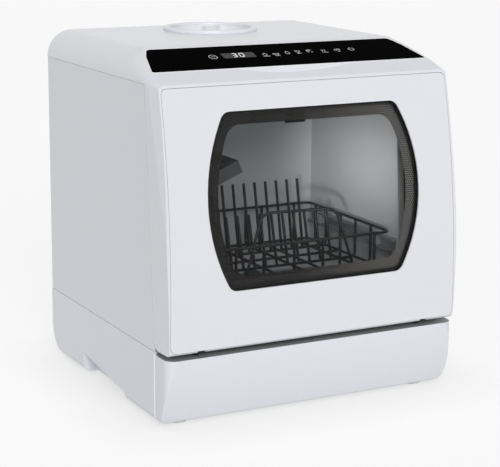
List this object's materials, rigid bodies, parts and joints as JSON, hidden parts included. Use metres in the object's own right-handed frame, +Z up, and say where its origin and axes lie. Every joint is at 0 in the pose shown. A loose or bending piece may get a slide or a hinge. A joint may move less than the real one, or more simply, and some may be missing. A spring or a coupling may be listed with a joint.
{
  "type": "countertop dishwasher",
  "caption": "Countertop dishwasher with a bellied drop-down window door, sloping touch strip, wire basket with a cup shelf, and a tank filled through a round lid on top.",
  "frame": {"origin": "middle of the footprint, on the surface that the feet stand on", "axes": "+Z up, -Y towards the user (the door side), +X to the right as seen from the front"},
  "size_m": [0.42, 0.394, 0.467],
  "materials": {
    "moulded_cover": "satin",
    "painted_sheet": "satin",
    "moulded_base": "satin",
    "feet_rubber": "matte",
    "control_glass": "gloss",
    "door_glass": "gloss",
    "frame_plastic": "matte",
    "inner_plastic": "matte",
    "dark_plastic": "matte",
    "seal_rubber": "matte",
    "coated_wire": "satin",
    "bracket_steel": "satin",
    "zinc_steel": "satin",
    "board": "matte",
    "tank_plastic": "matte"
  },
  "bodies": {
    "casing": {"top_cover": "moulded_cover", "left_side_panel": "painted_sheet", "right_side_panel": "painted_sheet", "back_panel": "painted_sheet", "base_tray": "moulded_base", "base_fascia": "moulded_base", "feet": "feet_rubber", "front_frame": "frame_plastic", "case_screws": "zinc_steel", "control_panel": "control_glass", "display_module": "dark_plastic", "touch_board": "board", "board_box": "frame_plastic", "main_board": "board", "door_seal": "seal_rubber", "door_lock": "dark_plastic", "left_hinge_bracket": "bracket_steel", "right_hinge_bracket": "bracket_steel", "tub": "inner_plastic", "sump": "dark_plastic", "filter": "inner_plastic", "spray_hub": "dark_plastic", "wash_pump": "dark_plastic", "drain_pump": "dark_plastic", "heater": "zinc_steel", "wash_hoses": "seal_rubber", "drain_hose": "seal_rubber", "supply_hose": "seal_rubber", "rack_rails": "inner_plastic", "water_tank": "tank_plastic", "filler_neck": "moulded_cover", "inlet_valve": "zinc_steel", "drain_outlet": "dark_plastic", "mains_inlet": "dark_plastic", "fan_housing": "dark_plastic", "air_duct": "dark_plastic"},
    "door": {"door_frame": "moulded_base", "door_face": "moulded_cover", "window_glass": "door_glass", "door_liner": "frame_plastic", "inner_pane": "door_glass", "pane_gasket": "seal_rubber", "door_catch": "dark_plastic", "left_hinge_plate": "zinc_steel", "right_hinge_plate": "zinc_steel", "hinge_pins": "zinc_steel"},
    "basket": {"basket_floor": "coated_wire", "basket_rim": "coated_wire", "plate_tines": "coated_wire", "cup_rail": "coated_wire", "basket_glides": "frame_plastic"},
    "cup_shelf": {"cup_shelf": "dark_plastic"},
    "spray_arm": {"spray_arm": "inner_plastic"},
    "tank_lid": {"tank_lid": "moulded_cover", "lid_seal": "seal_rubber"},
    "fan_rotor": {"fan_rotor": "dark_plastic"}
  },
  "joints": [
    {"name": "door_hinge", "type": "hinge", "parent": "casing", "child": "door", "pos_m": [0, -0.187, 0.105], "axis": [1, 0, 0], "range_deg": [0, 90]},
    {"name": "basket_slide", "type": "slide", "parent": "casing", "child": "basket", "axis": [0, -1, 0], "range_m": [0, 0.1]},
    {"name": "cup_shelf_hinge", "type": "hinge", "parent": "basket", "child": "cup_shelf", "pos_m": [-0.146, 0, 0.289], "axis": [0, -1, 0], "range_deg": [0, 70]},
    {"name": "spray_arm_spin", "type": "hinge", "parent": "casing", "child": "spray_arm", "pos_m": [0, -0.017, 0.133], "axis": [0, 0, 1], "continuous": true},
    {"name": "tank_lid_lift", "type": "slide", "parent": "casing", "child": "tank_lid", "axis": [0, 0, 1], "range_m": [0, 0.05]},
    {"name": "fan_spin", "type": "hinge", "parent": "casing", "child": "fan_rotor", "pos_m": [0.146, 0.1737, 0.34], "axis": [0, 1, 0], "continuous": true}
  ],
  "couplings": [
    {"joint": "basket_slide", "follows": "door_hinge", "m_per_rad": 0.0636}
  ]
}
